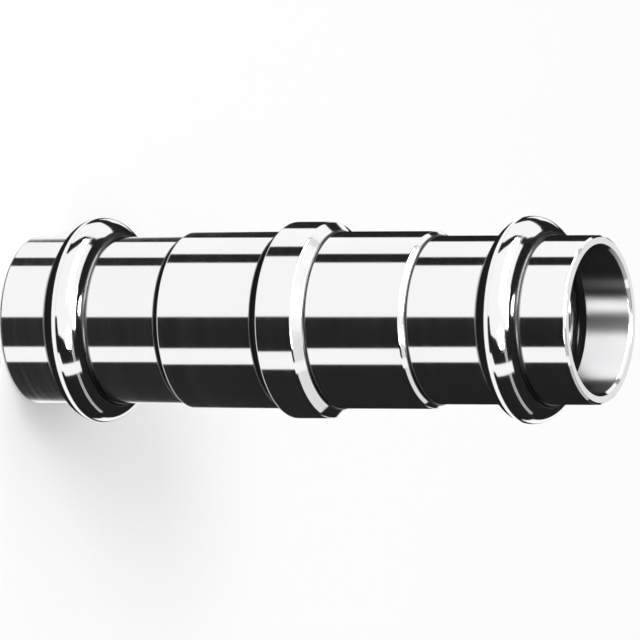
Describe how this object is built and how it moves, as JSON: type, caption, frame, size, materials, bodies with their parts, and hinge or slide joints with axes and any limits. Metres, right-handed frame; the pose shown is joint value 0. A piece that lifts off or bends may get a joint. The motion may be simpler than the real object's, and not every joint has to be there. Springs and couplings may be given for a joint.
{
  "type": "press slip coupling",
  "caption": "Stop-free metal pipe coupling with a beaded press end at each side, a rubber seal ring in each bead and a raised ring round the thicker middle.",
  "frame": {"origin": "centre of the lower end face, at the bottom of the part as it stands on end", "axes": "+Z along the bore from the lower end to the upper end; X and Y are alike, because the part is turned"},
  "size_m": [0.0316, 0.0316, 0.096],
  "materials": {
    "body_metal": "polished",
    "seal_rubber": "matte"
  },
  "bodies": {
    "root": {"coupling_body": "body_metal", "lower_seal_ring": "seal_rubber", "upper_seal_ring": "seal_rubber"}
  },
  "joints": []
}
